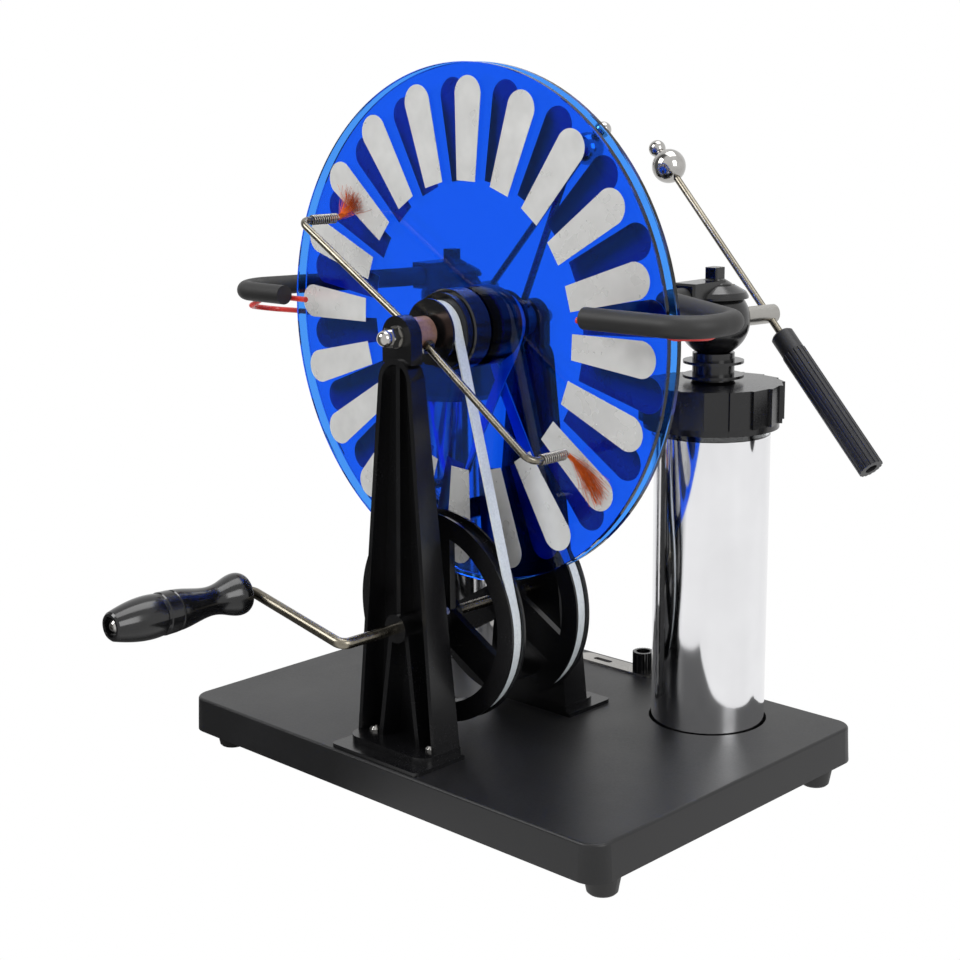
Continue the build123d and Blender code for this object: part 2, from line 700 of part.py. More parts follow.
def set_screw():
    height, turn = set_screw_places()
    screw = bar(SET_SCREW_RADIUS, SHAFT_RADIUS + FIT, PULLEY_HUB_RADIUS + SET_SCREW_STAND)
    head = PULLEY_HUB_RADIUS + SET_SCREW_STAND
    screw -= Pos(0, 0, head) * Box(3 * SET_SCREW_RADIUS, 0.8, 1.6)
    return Pos(0, SHAFT_HEIGHT, height) * Rot(0, 0, turn) * Rot(0, 90, 0) * screw


def loop_face(top_radius, bottom_radius):
    """Face inside a belt line round the hub above and the pulley below."""
    rise = math.asin((bottom_radius - top_radius) / AXLE_DROP)
    top_x, top_y = top_radius * math.cos(rise), AXLE_HEIGHT + top_radius * math.sin(rise)
    low_x, low_y = bottom_radius * math.cos(rise), SHAFT_HEIGHT + bottom_radius * math.sin(rise)
    middle = make_face(Polyline(
        (-low_x, low_y), (low_x, low_y), (top_x, top_y), (-top_x, top_y), close=True
    ))
    return (
        middle
        + Pos(0, AXLE_HEIGHT) * Circle(top_radius)
        + Pos(0, SHAFT_HEIGHT) * Circle(bottom_radius)
    )


def open_belt():
    outer = loop_face(BELT_HUB_RADIUS + BELT_THICKNESS, BELT_PULLEY_RADIUS + BELT_THICKNESS)
    inner = loop_face(BELT_HUB_RADIUS, BELT_PULLEY_RADIUS)
    return Pos(0, 0, GROOVE_MID - BELT_WIDTH / 2) * extrude(outer - inner, BELT_WIDTH)


def ease(share):
    share = min(max(share, 0), 1)
    return share * share * (3 - 2 * share)


def crossed_belt():
    """Belt whose two runs half twist and pass flat to flat between the wheels."""
    top_radius = BELT_HUB_RADIUS + BELT_THICKNESS / 2
    low_radius = BELT_PULLEY_RADIUS + BELT_THICKNESS / 2
    lean = math.asin((top_radius + low_radius) / AXLE_DROP)
    run = AXLE_DROP * math.cos(lean)
    cross = run * top_radius / (top_radius + low_radius)
    flat_start = cross - BELT_PASS_FLAT
    flat_end = cross + BELT_PASS_FLAT
    wrap = 180 + 2 * math.degrees(lean)
    pass_shift = (BELT_THICKNESS + BELT_PASS_GAP) / 2
    steps = [flat_start * k / 8 for k in range(9)]
    steps += [flat_end + (run - flat_end) * k / 14 for k in range(15)]
    pieces = []
    for side in (1, -1):
        normal = Vector(side * math.cos(lean), -math.sin(lean), 0)
        start = Vector(0, AXLE_HEIGHT, GROOVE_MID) + normal * top_radius
        end = Vector(0, SHAFT_HEIGHT, GROOVE_MID) - normal * low_radius
        along = (end - start) * (1 / run)
        sections = []
        for place in steps:
            if place <= cross:
                twist = 90 * ease(place / flat_start)
                shift = pass_shift * ease(place / flat_start)
            else:
                twist = 90 + 90 * ease((place - flat_end) / (run - flat_end))
                shift = pass_shift * ease(1 - (place - flat_end) / (run - flat_end))
            turn = math.radians(twist)
            out = Vector(0, 0, 1)
            across = out * math.cos(turn) + normal * math.sin(turn)
            thick = normal * math.cos(turn) - out * math.sin(turn)
            centre = start + along * place + out * (side * shift)
            corners = []
            for a, b in ((1, 1), (1, -1), (-1, -1), (-1, 1)):
                corner = centre + across * (a * BELT_WIDTH / 2) + thick * (b * BELT_THICKNESS / 2)
                corners.append(corner)
            sections.append(make_face(Polyline(*corners, close=True)))
        pieces.append(loft(sections, ruled=True))
    for centre_y, radius, first in (
        (AXLE_HEIGHT, top_radius, -math.degrees(lean)),
        (SHAFT_HEIGHT, low_radius, 180 - math.degrees(lean)),
    ):
        section = Plane.XZ * Pos(radius, GROOVE_MID) * Rectangle(BELT_THICKNESS, BELT_WIDTH)
        arc = revolve(section, Axis.Z, revolution_arc=wrap)
        pieces.append(Pos(0, centre_y, 0) * Rot(0, 0, first) * arc)
    belt = pieces[0]
    for piece in pieces[1:]:
        belt += piece
    return belt


# ---- neutralizers -----------------------------------------------------

def neutralizer_collar(angles):
    collar = turned([
        (AXLE_RADIUS + FIT, COLLAR_START),
        (COLLAR_RADIUS - 0.5, COLLAR_START),
        (COLLAR_RADIUS, COLLAR_START + 0.5),
        (COLLAR_RADIUS, COLLAR_END - 0.5),
        (COLLAR_RADIUS - 0.5, COLLAR_END),
        (AXLE_RADIUS + FIT, COLLAR_END),
    ])
    for turn in angles:
        hole = bar(ROD_RADIUS + FIT, ROD_ROOT - FIT, 2 * COLLAR_RADIUS)
        collar -= Pos(0, 0, COLLAR_MID) * Rot(0, 0, turn) * Rot(0, 90, 0) * hole
    return Pos(0, AXLE_HEIGHT, 0) * collar


def neutralizer_rods(angles, insets):
    """Two bent rods and the lock nuts that hold them in the collar."""
    shapes = []
    for turn, inset in zip(angles, insets):
        reach = SECTOR_OUTER - inset
        path = FilletPolyline(
            (ROD_ROOT, 0, COLLAR_MID),
            (reach, 0, COLLAR_MID),
            (reach, 0, ROD_END_REACH),
            radius=ROD_BEND,
        )
        nut = extrude(RegularPolygon(LOCK_NUT_FLATS / 2, 6, major_radius=False), LOCK_NUT_HEIGHT)
        nut -= bar(ROD_RADIUS + FIT, -1, LOCK_NUT_HEIGHT + 1)
        nut = Pos(COLLAR_RADIUS + SEAT_GAP, 0, COLLAR_MID) * Rot(0, 90, 0) * nut
        place = Pos(0, AXLE_HEIGHT, 0) * Rot(0, 0, turn)
        shapes.append(place * tube_along(path, ROD_RADIUS))
        shapes.append(place * nut)
    return shapes


def unit(vector):
    return vector * (1 / vector.length)


def biarc(start, start_dir, end, end_dir):
    """Two tangent arcs from a point and direction to another."""
    chord = end - start
    total = start_dir + end_dir
    spread = 2 * (1 - start_dir.dot(end_dir))
    middle = chord.dot(total)
    reach = (math.sqrt(middle ** 2 + spread * chord.dot(chord)) - middle) / spread
    joint = (start + end + (start_dir - end_dir) * reach) * 0.5
    joint_dir = unit(end - end_dir * reach - start - start_dir * reach)
    return [
        Edge.make_tangent_arc(start, start_dir, joint),
        Edge.make_tangent_arc(joint, joint_dir, end),
    ]


def coil_point(turns):
    angle = math.tau * turns
    return Vector(
        SPRING_MEAN * math.cos(angle), SPRING_MEAN * math.sin(angle), SPRING_PITCH * turns
    )


def coil_direction(turns):
    angle = math.tau * turns
    rise = SPRING_PITCH / math.tau
    return unit(Vector(-SPRING_MEAN * math.sin(angle), SPRING_MEAN * math.cos(angle), rise))


def coil_spring():
    """One unbroken wound wire about the local Z axis, rising from 0."""
    edges = []
    for number in range(2 * SPRING_TURNS):
        first, last = number / 2, (number + 1) / 2
        edges += biarc(
            coil_point(first), coil_direction(first), coil_point(last), coil_direction(last)
        )
    return tube_along(Wire(edges), SPRING_WIRE)


def coil_gap():
    """Least gap between neighbouring turns, measured on points of the wire's middle."""
    steps = 36
    least = SPRING_PITCH
    for number in range(SPRING_TURNS * steps):
        here = coil_point(number / steps)
        for other in range(number + steps // 2, min(number + 2 * steps, SPRING_TURNS * steps)):
            least = min(least, (coil_point(other / steps) - here).length)
    return least - 2 * SPRING_WIRE


def strand_roots():
    """Even triangular grid of strand roots, nearest the middle first."""
    roots = []
    for row in range(-8, 9):
        for column in range(-8, 9):
            u = STRAND_SPACING * (column + 0.5 * (row % 2))
            v = STRAND_SPACING * row * math.sqrt(3) / 2
            roots.append((math.hypot(u, v), u, v))
    roots.sort()
    return [(u, v) for _, u, v in roots[:STRAND_COUNT]]


def brush(lead, length):
    """Strands leaving a core at the rod's end and laid over along the lead angle."""
    dx, dy = polar(1, lead)
    ahead = Vector(dx, dy, 0)
    aside = Vector(-dy, dx, 0)
    out = Vector(0, 0, 1)
    core_high = ROD_END_REACH - RUNNING_GAP
    core_low = core_high - BRUSH_CORE_LENGTH
    face = DISC_FACE + SECTOR_THICKNESS + BRUSH_FACE_GAP
    middle = face + 0.45
    drop = core_low - middle
    # forward, height, sideways spread, forward part and height part of the grid
    stations = [
        (0, core_low + 0.5, 1, 1, 0),
        (0, core_low - 0.6, 1, 1, 0),
        (0.18 * drop, middle + 0.5 * drop, 1.15, 0.85, 0.25),
        (0.75 * drop, middle + 0.12 * drop, 1.5, 0.35, 0.35),
        (0.5 * length, middle + 0.03 * drop, 2.2, 0, 0.3),
        (length, middle, 3, 0, 0.25),
    ]
    tilt_a = unit(ahead + out)
    corners = []
    for turn in (0, 120, 240):
        a, b = polar(STRAND_RADIUS, turn)
        corners.append(tilt_a * a + aside * b)
    strands = []
    for number, (u, v) in enumerate(strand_roots()):
        points = []
        for forward, height, wide, grid_ahead, grid_out in stations:
            points.append(
                ahead * (forward + v * grid_ahead) + aside * (u * wide)
                + out * (height + v * grid_out)
            )
        share = 0.45 + 0.55 * ((number * 37) % 80) / 79
        points[-1] = points[-2] + (points[-1] - points[-2]) * share
        faces = [make_face(Polyline(*[p + c for c in corners], close=True)) for p in points]
        strands.append(loft(faces, ruled=True).solids()[0])
    core = bar(BRUSH_CORE_RADIUS, core_low, core_high).solids()[0]
    return core.fuse(Compound(strands))


# ---- jars, necks and heads --------------------------------------------

def jar_cup():
    outer = bar(CUP_RADIUS, JAR_SEAT, JAR_SEAT + JAR_HEIGHT)
    return outer - bar(CUP_RADIUS - JAR_WALL, JAR_SEAT + JAR_FLOOR, JAR_SEAT + JAR_HEIGHT + 1)


def jar_foil():
    return ring(
        JAR_RADIUS, JAR_RADIUS - JAR_FOIL, JAR_SEAT + SEAT_GAP, CAP_BOTTOM - FOIL_TOP_GAP
    )


def jar_cap():
    points = []
    step = 360 / CAP_TEETH
    for number in range(CAP_TEETH):
        points.append(polar(CAP_RADIUS, number * step))
        points.append(polar(CAP_RADIUS - CAP_TOOTH, (number + 1) * step - 0.5))
    teeth = extrude(make_face(Polyline(*points, close=True)), CAP_HEIGHT - CAP_PLAIN)
    cap = Pos(0, 0, CAP_BOTTOM + CAP_PLAIN) * teeth
    cap += bar(CAP_PLAIN_RADIUS, CAP_BOTTOM, CAP_BOTTOM + CAP_PLAIN)
    cup_top = JAR_SEAT + JAR_HEIGHT
    cap -= bar(JAR_RADIUS + 2 * SLIP, CAP_BOTTOM - 1, cup_top + SEAT_GAP)
    return cap


def neck():
    low = CAP_TOP_HEIGHT
    first = low + NECK_FLANGE_LOW
    second = low + NECK_FLANGE_HIGH
    return turned([
        (0, low),
        (NECK_RADIUS + 1.2, low),
        (NECK_RADIUS, low + 1.2),
        (NECK_RADIUS, first),
        (NECK_FLANGE_RADIUS, first),
        (NECK_FLANGE_RADIUS, first + NECK_FLANGE),
        (NECK_RADIUS, first + NECK_FLANGE),
        (NECK_RADIUS, second),
        (NECK_FLANGE_RADIUS, second),
        (NECK_FLANGE_RADIUS, second + NECK_FLANGE),
        (NECK_RADIUS, second + NECK_FLANGE),
        (NECK_RADIUS, low + NECK_SOCKET),
        (0, low + NECK_SOCKET),
    ])


def stub_frame(side):
    """Frame at the head's middle with Z along the electrode stub, X towards the middle."""
    turn = math.radians(STUB_TURN)
    along = (side * math.sin(turn), math.cos(turn), 0)
    inward = (-side * math.cos(turn), math.sin(turn), 0)
    return Plane(origin=(0, 0, HEAD_HEIGHT), x_dir=inward, z_dir=along).location


def head(side):
    ball = Pos(0, 0, HEAD_HEIGHT) * Sphere(HEAD_RADIUS)
    dome = turned([
        (0, HEAD_HEIGHT + DOME_LOW),
        (DOME_RADIUS, HEAD_HEIGHT + DOME_LOW),
        (DOME_RADIUS, HEAD_HEIGHT + DOME_LOW + DOME_EDGE),
        (0.93 * DOME_RADIUS, HEAD_HEIGHT + DOME_LOW + 0.5 * (DOME_HIGH - DOME_LOW)),
        (DOME_TOP_RADIUS, HEAD_HEIGHT + DOME_HIGH),
        (BUTTON_RADIUS, HEAD_HEIGHT + DOME_HIGH),
        (BUTTON_RADIUS, HEAD_HEIGHT + DOME_HIGH + BUTTON_EDGE),
        (NUB_SIDE / 2, HEAD_HEIGHT + DOME_HIGH + BUTTON_RISE),
        (0, HEAD_HEIGHT + DOME_HIGH + BUTTON_RISE),
    ])
    nub_low = HEAD_HEIGHT + DOME_HIGH + BUTTON_RISE
    nub = Pos(0, 0, nub_low - 1) * Box(NUB_SIDE, NUB_SIDE, NUB_RISE + 1, align=BOTTOM)
    nub = chamfer(nub.edges().filter_by(Axis.Z), 0.8)
    lug = Pos(0, -LUG_REACH / 2, HEAD_HEIGHT + LUG_LOW) * Box(
        LUG_WIDTH, LUG_REACH, LUG_HIGH - LUG_LOW, align=BOTTOM
    )
    lug = chamfer(lug.faces().sort_by(Axis.Y)[0].edges(), 1.2)
    shape = ball + dome + lug + nub
    neck_top = CAP_TOP_HEIGHT + NECK_SOCKET
    shape -= bar(NECK_RADIUS + FIT, 0, neck_top + FIT)
    socket = Pos(0, -LUG_REACH, FORK_HEIGHT) * Rot(-90, 0, 0) * bar(
        FORK_RADIUS + FIT, -1, FORK_SOCKET + FIT
    )
    shape -= socket
    stub_hole = bar(STUB_RADIUS + FIT, STUB_ROOT - RUNNING_GAP, 2 * HEAD_RADIUS)
    return shape - stub_frame(side) * stub_hole


# ---- collector forks --------------------------------------------------

def corner_points(side, jar_x, corners):
    return [(jar_x + side * out, DISC_MID_Y + back, FORK_HEIGHT - low) for out, back, low, _ in corners]


def fork(side, jar_x, corners):
    """Arm out of the head's socket, round the discs' edge and back along their front."""
    root = (jar_x, JAR_Y - LUG_REACH + FORK_SOCKET, FORK_HEIGHT)
    bends = [bend for *_, bend in corners[:-1]]
    path = FilletPolyline(root, *corner_points(side, jar_x, corners), radius=bends)
    return tube_along(path, FORK_RADIUS)


def collector_wire(side, jar_x, fork_corners, corners, run):
    """Wire along the front arm's inner side, turned round the discs' edge and back behind them."""
    out, back, low, _ = fork_corners[-1]
    across, rise = polar(FORK_RADIUS + WIRE_RADIUS + SLIP, WIRE_SIDE)
    aside = [(out - WIRE_START, back + across, low - rise, 0), (out + run, back + across, low - rise, 9)]
    lowered = [(x, y, low + drop, bend) for x, y, drop, bend in corners]
    points = corner_points(side, jar_x, aside + lowered)
    bends = [bend for *_, bend in (aside + lowered)[1:-1]]
    return tube_along(FilletPolyline(*points, radius=bends), WIRE_RADIUS)


# ---- spark electrodes -------------------------------------------------

def electrode_frame(side, jar_x, elevation):
    """Frame at the stub's cross hole with Z along the rod towards its balls."""
    turn = math.radians(STUB_TURN)
    rise = math.radians(elevation)
    along = Vector(side * math.sin(turn), math.cos(turn), 0)
    inward = Vector(-side * math.cos(turn), math.sin(turn), 0)
    pivot = Vector(jar_x, JAR_Y, HEAD_HEIGHT) + along * ROD_HOLE_AT
    rod = inward * math.cos(rise) + Vector(0, 0, 1) * math.sin(rise)
    return Plane(origin=pivot, x_dir=along, z_dir=rod).location


def electrode_stub(side, jar_x, elevation):
    end = STUB_ROOT + STUB_LENGTH
    stub = turned([
        (0, STUB_ROOT),
        (STUB_RADIUS, STUB_ROOT),
        (STUB_RADIUS, end - 0.6),
        (STUB_RADIUS - 0.6, end),
        (0, end),
    ])
    stub = Pos(jar_x, JAR_Y, 0) * stub_frame(side) * stub
    hole = bar(ELECTRODE_RADIUS + FIT, -2 * STUB_RADIUS, 2 * STUB_RADIUS)
    return stub - electrode_frame(side, jar_x, elevation) * hole


def electrode_rod():
    return bar(ELECTRODE_RADIUS, HANDLE_BORE_DEPTH - HANDLE_START - HANDLE_LENGTH, SMALL_BALL_AT)


def electrode_balls():
    hole = ELECTRODE_RADIUS + FIT
    big = Pos(0, 0, BIG_BALL_AT) * Sphere(BIG_BALL_RADIUS)
    big -= bar(hole, 0, 2 * BIG_BALL_AT)
    small = Pos(0, 0, SMALL_BALL_AT) * Sphere(SMALL_BALL_RADIUS)
    small -= bar(hole, 0, SMALL_BALL_AT + FIT)
    return [big, small]


def electrode_handle():
    start = -HANDLE_START
    end = start - HANDLE_LENGTH
    fluted = start - HANDLE_COLLAR
    section = Circle(HANDLE_RADIUS)
    for number in range(HANDLE_FLUTES):
        x, y = polar(HANDLE_RADIUS + 0.1, number * 360 / HANDLE_FLUTES)
        section -= Pos(x, y) * Circle(HANDLE_FLUTE_RADIUS)
    handle = Pos(0, 0, end) * extrude(section, HANDLE_LENGTH - HANDLE_COLLAR)
    handle += turned([
        (0, fluted),
        (HANDLE_RADIUS - 0.4, fluted),
        (HANDLE_RADIUS - 0.4, start - 1.2),
        (HANDLE_RADIUS - 1.6, start),
        (0, start),
    ])
    handle -= bar(ELECTRODE_RADIUS + FIT, end - 1, start + 1)
    return handle - bar(HANDLE_BORE_RADIUS, end - 1, end + HANDLE_BORE_DEPTH)


# ---- link strip -------------------------------------------------------

def link_strip():
    middle = (LINK_LEFT + LINK_RIGHT) / 2
    outline = Pos(middle, LINK_Y) * SlotOverall(LINK_RIGHT - LINK_LEFT, LINK_WIDTH)
    outline -= Pos(LINK_X, LINK_Y) * Circle(STUD_RADIUS + FIT)
    outline -= Pos(LINK_SLOT_X, LINK_Y) * SlotOverall(LINK_SLOT_LENGTH, LINK_SLOT_WIDTH)
    return Pos(0, 0, TRAY_HEIGHT + SEAT_GAP) * extrude(outline, LINK_THICKNESS)


def link_knob():
    low = TRAY_HEIGHT + 2 * SEAT_GAP + LINK_THICKNESS
    points = []
    for number in range(2 * KNOB_TEETH):
        radius = KNOB_RADIUS - KNOB_TOOTH * (number % 2)
        points.append(polar(radius, number * 180 / KNOB_TEETH))
    knob = extrude(make_face(Polyline(*points, close=True)), KNOB_HEIGHT)
    knob -= bar(STUD_RADIUS + FIT, -1, KNOB_HEIGHT + 1)
    knob -= bar(KNOB_HOLLOW_RADIUS, KNOB_HEIGHT - KNOB_HOLLOW, KNOB_HEIGHT + 1)
    return Pos(LINK_X, LINK_Y, low) * knob


# ---- every piece, written one file each -------------------------------

front = side_frame(True)
rear = side_frame(False)

save(base_tray(), "base_tray")
save(group([Pos(x, y, 0) * rubber_foot() for x, y in foot_places()]), "rubber_feet")

one_upright = upright()
one_screw = pan_screw()
one_hub = hub()
one_disc = disc()
one_pulley = pulley()
one_spring = coil_spring()
for name, place, is_front in (("front", front, True), ("rear", rear, False)):
    save(place * one_upright, f"{name}_upright")
    screws = [Pos(x, y, FLOOR_TOP) * one_screw for x, y in screw_places(is_front)]
    save(group(screws), f"{name}_upright_screws")
    save(place * one_hub, f"{name}_hub")
    save(place * one_disc, f"{name}_disc")
    phase = FRONT_SECTOR_PHASE if is_front else REAR_SECTOR_PHASE
    save(group([place * petal for petal in sectors(phase)]), f"{name}_sectors")
    save(place * one_pulley, f"{name}_pulley")
save(group([place * set_screw() for place in (front, rear)]), "pulley_set_screws")
save(front * open_belt(), "front_belt")
save(rear * crossed_belt(), "rear_belt")

save(front * bar(AXLE_RADIUS, -AXLE_END, AXLE_END, 0, AXLE_HEIGHT), "axle")
seat = Pos(0, AXLE_HEIGHT, BOSS_FACE)
washer = seat * ring(WASHER_RADIUS, AXLE_RADIUS + FIT, 0, WASHER_THICKNESS)
save(group([place * washer for place in (front, rear)]), "axle_washers")
nut = seat * Pos(0, 0, WASHER_THICKNESS) * acorn_nut()
save(group([place * nut for place in (front, rear)]), "axle_nuts")
half_gap = DISC_GAP / 2 - CLAMP_THICKNESS - SEAT_GAP
middle_spacer = ring(SPACER_RADIUS, AXLE_RADIUS + FIT, -half_gap, half_gap, 0, AXLE_HEIGHT)
outer_spacer = ring(
    SPACER_RADIUS, AXLE_RADIUS + FIT, LIP_END + RUNNING_GAP, COLLAR_START - RUNNING_GAP, 0, AXLE_HEIGHT
)
save(group([front * middle_spacer, front * outer_spacer, rear * outer_spacer]), "axle_spacers")

save(front * drive_shaft(), "drive_shaft")
pin = front * Pos(-CRANK_ACROSS, SHAFT_HEIGHT + CRANK_RISE, 0)
save(pin * Pos(0, 0, GRIP_START) * crank_grip(), "crank_grip")
save(pin * Pos(0, 0, PIN_END) * grip_screw(), "grip_screw")

for name, place, angles, insets, leads in (
    ("front", front, FRONT_ROD_ANGLES, FRONT_ROD_INSETS, FRONT_BRUSH_LEADS),
    ("rear", rear, REAR_ROD_ANGLES, REAR_ROD_INSETS, REAR_BRUSH_LEADS),
):
    save(place * neutralizer_collar(angles), f"{name}_neutralizer_collar")
    rods = neutralizer_rods(angles, insets)
    save(group([place * shape for shape in rods]), f"{name}_neutralizer_rods")
    springs = []
    for turn, inset, end, (lead, length) in zip(angles, insets, ("a", "b"), leads):
        x, y = polar(SECTOR_OUTER - inset, turn)
        tip = place * Pos(x, AXLE_HEIGHT + y, 0)
        springs.append(tip * Pos(0, 0, SPRING_TIP_REACH) * one_spring)
        save(tip * brush(lead, length), f"{name}_brush_{end}")
    save(group(springs), f"{name}_neutralizer_springs")
print("spring gap between turns", round(coil_gap(), 2), "mm")

for name, side, jar_x, elevation, fork_corners, wire_corners, wire_run in (
    ("right", 1, RIGHT_JAR_X, RIGHT_ELEVATION, RIGHT_FORK, RIGHT_WIRE, RIGHT_WIRE_RUN),
    ("left", -1, LEFT_JAR_X, LEFT_ELEVATION, LEFT_FORK, LEFT_WIRE, LEFT_WIRE_RUN),
):
    jar = Pos(jar_x, JAR_Y, 0)
    save(jar * jar_cup(), f"{name}_jar_cup")
    save(jar * jar_foil(), f"{name}_jar_foil")
    save(jar * jar_cap(), f"{name}_jar_cap")
    save(jar * neck(), f"{name}_neck")
    save(jar * head(side), f"{name}_head")
    save(fork(side, jar_x, fork_corners), f"{name}_fork")
    wire = collector_wire(side, jar_x, fork_corners, wire_corners, wire_run)
    save(wire, f"{name}_collector_wire")
    save(electrode_stub(side, jar_x, elevation), f"{name}_electrode_stub")
    rod_place = electrode_frame(side, jar_x, elevation)
    save(rod_place * electrode_rod(), f"{name}_electrode_rod")
    save(group([rod_place * ball for ball in electrode_balls()]), f"{name}_electrode_balls")
    save(rod_place * electrode_handle(), f"{name}_electrode_handle")

post_low = TRAY_HEIGHT - SCREW_LENGTH
save(bar(STUD_RADIUS, post_low, TRAY_HEIGHT + STUD_RISE, LINK_X, LINK_Y), "link_stud")
save(link_strip(), "link_strip")
save(link_knob(), "link_knob")
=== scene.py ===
import math
import random
import bpy
from mathutils import Euler, Matrix, Vector


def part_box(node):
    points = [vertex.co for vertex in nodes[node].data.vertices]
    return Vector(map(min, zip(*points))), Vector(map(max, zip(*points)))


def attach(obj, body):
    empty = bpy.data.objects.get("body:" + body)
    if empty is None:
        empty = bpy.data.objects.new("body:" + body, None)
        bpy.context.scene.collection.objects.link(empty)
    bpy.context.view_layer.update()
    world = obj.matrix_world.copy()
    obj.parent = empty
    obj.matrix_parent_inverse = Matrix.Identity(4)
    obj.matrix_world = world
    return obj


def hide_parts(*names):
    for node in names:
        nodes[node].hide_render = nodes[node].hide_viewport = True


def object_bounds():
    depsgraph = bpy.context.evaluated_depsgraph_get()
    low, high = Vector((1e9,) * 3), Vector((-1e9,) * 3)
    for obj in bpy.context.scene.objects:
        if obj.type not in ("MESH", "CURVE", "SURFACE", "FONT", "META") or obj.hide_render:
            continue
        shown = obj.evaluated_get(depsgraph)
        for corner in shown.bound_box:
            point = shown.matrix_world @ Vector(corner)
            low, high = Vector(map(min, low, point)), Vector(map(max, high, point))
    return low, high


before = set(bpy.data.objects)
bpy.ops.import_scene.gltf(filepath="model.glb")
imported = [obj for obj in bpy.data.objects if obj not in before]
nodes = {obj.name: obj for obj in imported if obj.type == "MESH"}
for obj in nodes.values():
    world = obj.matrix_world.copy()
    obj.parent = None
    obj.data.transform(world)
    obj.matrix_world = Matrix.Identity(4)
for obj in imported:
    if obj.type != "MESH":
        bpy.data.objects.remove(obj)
cad_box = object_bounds()

MM = 0.001

# Camera: the photograph's viewing angle, in metres and degrees
CAMERA_PLACE = (0.651569, -0.690186, 0.368368)
CAMERA_DOWN = 12.51
CAMERA_ROUND = 44.43
CAMERA_ROLL = -0.70
LENS_MM = 64.24
SENSOR_MM = 36
CLIP_END = 60

bpy.ops.object.select_all(action="DESELECT")
bpy.ops.object.camera_add(location=CAMERA_PLACE)
camera = bpy.context.object
look = Euler((math.radians(90 - CAMERA_DOWN), 0, math.radians(CAMERA_ROUND))).to_matrix()
roll = Matrix.Rotation(math.radians(CAMERA_ROLL), 3, "Z")
camera.rotation_euler = (look @ roll).to_euler()
camera.data.lens = LENS_MM
camera.data.sensor_width = SENSOR_MM
camera.data.clip_end = CLIP_END
bpy.context.scene.camera = camera
bpy.context.scene.view_settings.view_transform = "Standard"


# Helpers for materials
def colour(code):
    """Linear colour of an sRGB hex value."""
    parts = [int(code[k:k + 2], 16) / 255 for k in (0, 2, 4)]
    return tuple(v / 12.92 if v <= 0.04045 else ((v + 0.055) / 1.055) ** 2.4 for v in parts) + (1,)


def node(tree, kind, inputs=None, **settings):
    """Adds one node; an input is a value, or the socket that feeds it."""
    made = tree.nodes.new(kind)
    for key, value in settings.items():
        setattr(made, key, value)
    for key, value in (inputs or {}).items():
        if isinstance(value, bpy.types.NodeSocket):
            tree.links.new(value, made.inputs[key])
        else:
            made.inputs[key].default_value = value
    return made


def blank(name):
    """A material with a Principled surface."""
    material = bpy.data.materials.new(name)
    material.use_nodes = True
    tree = material.node_tree
    tree.nodes.clear()
    surface = node(tree, "ShaderNodeBsdfPrincipled")
    node(tree, "ShaderNodeOutputMaterial", {"Surface": surface.outputs["BSDF"]})
    return material, tree, surface


def set_all(surface, **values):
    """Sets the shader's own sockets; an underscore stands for a space in a socket's name."""
    for key, value in values.items():
        surface.inputs[key.replace("_", " ")].default_value = value


def give(piece, material):
    """Makes the material the piece's only one."""
    piece.data.materials.clear()
    piece.data.materials.append(material)


# The part of the noise's range over which the tints and the roughness change
NOISE_FLOOR = 0.12
TINT_SPAN = (0.2, 0.6)
ROUGH_SPAN = (0.15, 0.65)


def patterned(name, tints, rough, grain_mm, depth_mm, stretch=(1, 1, 1), blotch_mm=40, **surface_values):
    """A surface with a grain: colour and roughness vary over it and a bump follows the grain."""
    material, tree, surface = blank(name)
    spot = node(tree, "ShaderNodeTexCoord").outputs["Object"]
    laid = node(tree, "ShaderNodeMapping", {"Vector": spot, "Scale": stretch}).outputs["Vector"]
    grain = node(tree, "ShaderNodeTexNoise", {
        "Vector": laid, "Scale": 1 / (grain_mm * MM), "Detail": 2.0, "Roughness": 0.6})
    cloud = node(tree, "ShaderNodeTexNoise", {"Vector": spot, "Scale": 1 / (blotch_mm * MM), "Detail": 3.0})
    blend = node(tree, "ShaderNodeMath", {
        0: grain.outputs["Fac"], 1: cloud.outputs["Fac"], 2: NOISE_FLOOR}, operation="MULTIPLY_ADD")
    ramp = node(tree, "ShaderNodeValToRGB", {"Fac": blend.outputs[0]})
    for end, tint, position in zip(ramp.color_ramp.elements, tints, TINT_SPAN):
        end.color = colour(tint)
        end.position = position
    spread = node(tree, "ShaderNodeMapRange", {
        "Value": blend.outputs[0], "From Min": ROUGH_SPAN[0], "From Max": ROUGH_SPAN[1],
        "To Min": rough[0], "To Max": rough[1]})
    bump = node(tree, "ShaderNodeBump", {
        "Height": grain.outputs["Fac"], "Distance": depth_mm * MM, "Strength": 1.0})
    tree.links.new(ramp.outputs["Color"], surface.inputs["Base Color"])
    tree.links.new(spread.outputs["Result"], surface.inputs["Roughness"])
    tree.links.new(bump.outputs["Normal"], surface.inputs["Normal"])
    set_all(surface, **surface_values)
    return material


